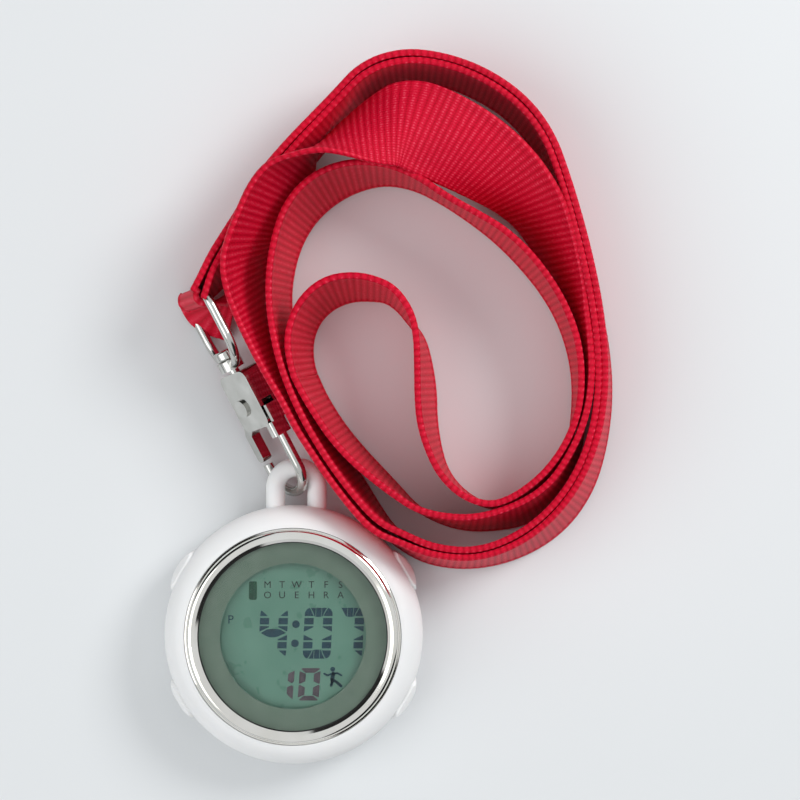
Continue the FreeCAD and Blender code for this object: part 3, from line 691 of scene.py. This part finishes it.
grey_plastic, _ = varied("grey_moulded_plastic", (0.20, 0.21, 0.22), (0.26, 0.27, 0.28),
                         (0.4, 0.6))
black_plastic, _ = varied("black_moulded_plastic", (0.012, 0.012, 0.014), (0.03, 0.03, 0.032),
                          (0.35, 0.55))
white_plastic, _ = varied("white_moulded_plastic", (0.70, 0.70, 0.68), (0.80, 0.80, 0.78),
                          (0.35, 0.55))
black_rubber, _ = varied("black_rubber", (0.010, 0.010, 0.010), (0.025, 0.025, 0.025), (0.6, 0.8))
grey_rubber, _ = varied("grey_rubber", (0.12, 0.12, 0.12), (0.18, 0.18, 0.18), (0.6, 0.8))
board, _ = varied("green_board", (0.01, 0.09, 0.035), (0.02, 0.16, 0.06), (0.3, 0.5))
component, _ = varied("component_brown", (0.16, 0.09, 0.04), (0.26, 0.17, 0.09), (0.3, 0.5))
film, _ = varied("display_film", (0.32, 0.38, 0.32), (0.40, 0.46, 0.40), (0.2, 0.35))
amber, _ = varied("amber_film", (0.55, 0.30, 0.04), (0.70, 0.42, 0.08), (0.25, 0.4))
digit_ink, _ = varied("display_digits", (0.002, 0.030, 0.050), (0.006, 0.055, 0.080), (0.4, 0.5),
                      scale=900.0)
small_ink, _ = varied("display_small_digits", (0.055, 0.050, 0.062), (0.110, 0.085, 0.100),
                      (0.4, 0.5), scale=900.0)
letter_ink, _ = varied("display_letters", (0.004, 0.008, 0.008), (0.012, 0.020, 0.020), (0.4, 0.5),
                       scale=900.0)
cursor_ink, _ = varied("display_cursor", (0.004, 0.045, 0.022), (0.012, 0.085, 0.045), (0.4, 0.5),
                       scale=900.0)
clear_glass = glass_material("crystal_glass", (1.0, 1.0, 1.0), 0.0, 1.2)
display_glass = glass_material("display_glass", (0.92, 0.97, 0.94), 0.02, 1.45)

LOOKS = {
    "white_silicone": silicone, "grey_plastic": grey_plastic, "black_plastic": black_plastic,
    "white_plastic": white_plastic, "sage_plastic": sage, "steel": steel, "chrome": chrome,
    "bright_nickel": nickel, "brass_plate": brass, "clear_glass": clear_glass,
    "lcd_glass": display_glass, "lcd_face": display, "lcd_film": film, "amber_film": amber,
    "black_rubber": black_rubber, "grey_rubber": grey_rubber, "board_green": board,
    "component_brown": component,
}

for subpart in frame["record"]["subparts"]:
    look = LOOKS.get(subpart["material_slot"])
    if look:
        for slot in frame["nodes"][subpart["node"]].material_slots:
            slot.material = look
for piece, ink in ((time_piece, digit_ink), (small_piece, small_ink), (runner_piece, digit_ink),
                   (cursor_piece, cursor_ink), (day_piece, letter_ink),
                   (half_day_piece, digit_ink)):
    piece.data.materials.append(ink)


# ---------------------------------------------------------------- floor and light
def make_floor():
    half = 0.6
    level = -0.0001
    mesh = bpy.data.meshes.new("floor")
    corners = [(-half, -half), (half, -half), (half, half), (-half, half)]
    points = [(x + CAMERA_X, y + CAMERA_Y, level) for x, y in corners]
    mesh.from_pydata(points, [], [(0, 1, 2, 3)])
    floor = bpy.data.objects.new("floor", mesh)
    bpy.context.scene.collection.objects.link(floor)
    material, _, shader = new_material("pale_floor")
    shader.inputs["Base Color"].default_value = (0.76, 0.78, 0.79, 1.0)
    shader.inputs["Roughness"].default_value = 0.75
    mesh.materials.append(material)


def add_light(name, place, aim, size, power, colour=(1.0, 1.0, 1.0)):
    data = bpy.data.lights.new(name, "AREA")
    data.shape = "DISK"
    data.size = size
    data.energy = power
    data.color = colour
    light = bpy.data.objects.new(name, data)
    light.location = place
    light.rotation_euler = (Vector(aim) - Vector(place)).to_track_quat("-Z", "Y").to_euler()
    bpy.context.scene.collection.objects.link(light)


def make_world():
    """A pale studio with two dark flags and a dark horizon, which give metal its contrast."""
    world = bpy.data.worlds.new("studio")
    world.use_nodes = True
    tree = world.node_tree
    maths = maths_in(tree)
    background = tree.nodes["Background"]
    background.inputs["Strength"].default_value = 0.74
    place = tree.nodes.new("ShaderNodeTexCoord")
    parts = tree.nodes.new("ShaderNodeSeparateXYZ")
    tree.links.new(place.outputs["Generated"], parts.inputs[0])
    flags = maths("MULTIPLY", maths("MULTIPLY", parts.outputs["X"], parts.outputs["Y"]), -1.0)
    shade = ramp(tree, flags, ((0.0, (0.96, 0.98, 1.0)), (0.19, (0.90, 0.92, 0.94)),
                               (0.25, (0.03, 0.03, 0.03)), (1.0, (0.02, 0.02, 0.02))))
    height = maths("ABSOLUTE", parts.outputs["Z"])
    horizon = ramp(tree, height, ((0.06, (0.32, 0.33, 0.34)), (0.20, (1.0, 1.0, 1.0))))
    tree.links.new(product(tree, shade, horizon), background.inputs["Color"])
    bpy.context.scene.world = world


make_floor()
make_world()
add_light("key", (0.40, 0.30, 0.38), (0.02, 0.05, 0.0), 0.24, 1.6)
add_light("fill", (-0.35, -0.05, 0.40), (-0.01, 0.01, 0.0), 0.5, 0.8)
bpy.context.scene.view_settings.view_transform = "Standard"
